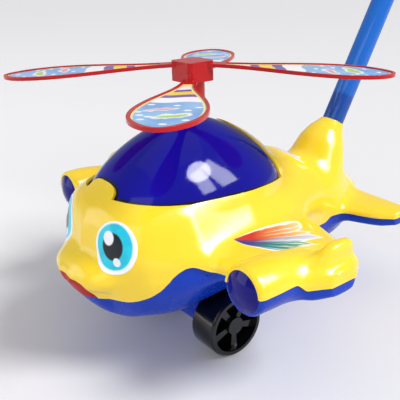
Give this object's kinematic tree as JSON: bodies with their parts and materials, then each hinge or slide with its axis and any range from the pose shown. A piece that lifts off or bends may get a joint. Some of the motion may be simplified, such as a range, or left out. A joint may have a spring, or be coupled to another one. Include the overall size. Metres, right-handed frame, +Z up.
{
  "type": "toy airplane",
  "caption": "Push-along toy aeroplane: hollow two-colour body with a domed canopy, stub wings, driven road wheels that spin a geared rotor, tail roller and slanted push stick",
  "frame": {"origin": "on the floor, straight below the rotor's axis", "axes": "+Z up; the nose points to -Y; +X is the aeroplane's port side; the push stick leans back towards +Y"},
  "size_m": [0.226, 0.4602, 0.514],
  "materials": {
    "yellow_shell": "glossy",
    "blue_shell": "glossy",
    "canopy_tint": "glossy",
    "red_trim": "glossy",
    "lens_tint": "glossy",
    "black_plastic": "glossy",
    "bright_steel": "bright drawn",
    "gear_plastic": "satin",
    "red_plastic": "glossy",
    "printed_label": "glossy",
    "stick_tube": "glossy",
    "plug_plastic": "glossy"
  },
  "bodies": {
    "airframe": {"upper_shell": "yellow_shell", "lower_shell": "blue_shell", "canopy": "canopy_tint", "mouth_lips": "red_trim", "engine_lens_port": "lens_tint", "engine_lens_starboard": "lens_tint", "gear_pin": "bright_steel", "gear_frame": "gear_plastic", "gear_frame_screws": "bright_steel", "shell_screws": "bright_steel", "tail_axle": "bright_steel", "stick_lower": "stick_tube", "stick_upper": "stick_tube", "stick_base_plug": "plug_plastic", "stick_joint_plug": "plug_plastic", "stick_grip": "plug_plastic"},
    "drive_axle": {"axle": "bright_steel", "wheel_port": "black_plastic", "wheel_starboard": "black_plastic", "axle_gear": "gear_plastic"},
    "lay_gear": {"lay_gear": "gear_plastic"},
    "rotor": {"rotor_shaft": "bright_steel", "rotor_gear": "gear_plastic", "rotor_lower": "red_plastic", "rotor_upper": "red_plastic", "rotor_labels_lower": "printed_label", "rotor_labels_upper": "printed_label"},
    "tail_roller": {"tail_wheel": "black_plastic"}
  },
  "joints": [
    {"name": "axle_spin", "type": "hinge", "parent": "airframe", "child": "drive_axle", "pos_m": [0, -0.0077, 0.02], "axis": [1, 0, 0], "continuous": true},
    {"name": "lay_gear_spin", "type": "hinge", "parent": "airframe", "child": "lay_gear", "pos_m": [0, -0.0077, 0.03], "axis": [0, 0, 1], "continuous": true},
    {"name": "rotor_spin", "type": "hinge", "parent": "airframe", "child": "rotor", "pos_m": [0, 0, 0.1], "axis": [0, 0, 1], "continuous": true},
    {"name": "tail_wheel_spin", "type": "hinge", "parent": "airframe", "child": "tail_roller", "pos_m": [0, 0.088, 0.009], "axis": [1, 0, 0], "continuous": true}
  ],
  "couplings": [
    {"joint": "lay_gear_spin", "follows": "axle_spin", "ratio": 2},
    {"joint": "rotor_spin", "follows": "axle_spin", "ratio": -2}
  ]
}
